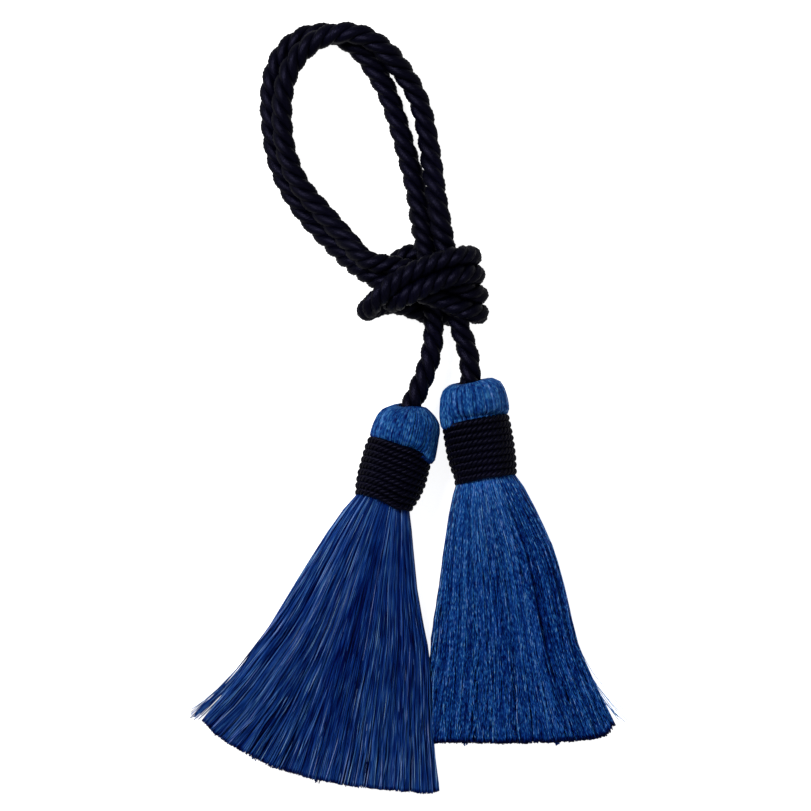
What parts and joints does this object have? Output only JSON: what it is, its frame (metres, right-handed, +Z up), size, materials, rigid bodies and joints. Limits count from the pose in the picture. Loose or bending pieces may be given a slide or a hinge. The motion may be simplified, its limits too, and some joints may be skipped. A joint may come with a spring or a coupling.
{
  "type": "tassel",
  "caption": "Yarn tassels with wound collars on the ends of a doubled twisted cord, knotted below its hanging loop.",
  "frame": {"origin": "Centre of the bounding box, on the surface that the pair lies on.", "axes": "+Y runs from the tassels' hems to the hanging loop, +X to the right seen from above, +Z up from the surface."},
  "size_m": [0.1302, 0.2387, 0.0251],
  "materials": {
    "navy_cord": "twisted yarn, soft sheen",
    "blue_yarn": "rayon threads, silky sheen",
    "navy_binding": "fine wound cord, soft sheen"
  },
  "bodies": {
    "root": {"cord": "navy_cord", "left_tassel_yarn": "blue_yarn", "left_tassel_collar": "navy_binding", "right_tassel_yarn": "blue_yarn", "right_tassel_collar": "navy_binding"}
  },
  "joints": []
}
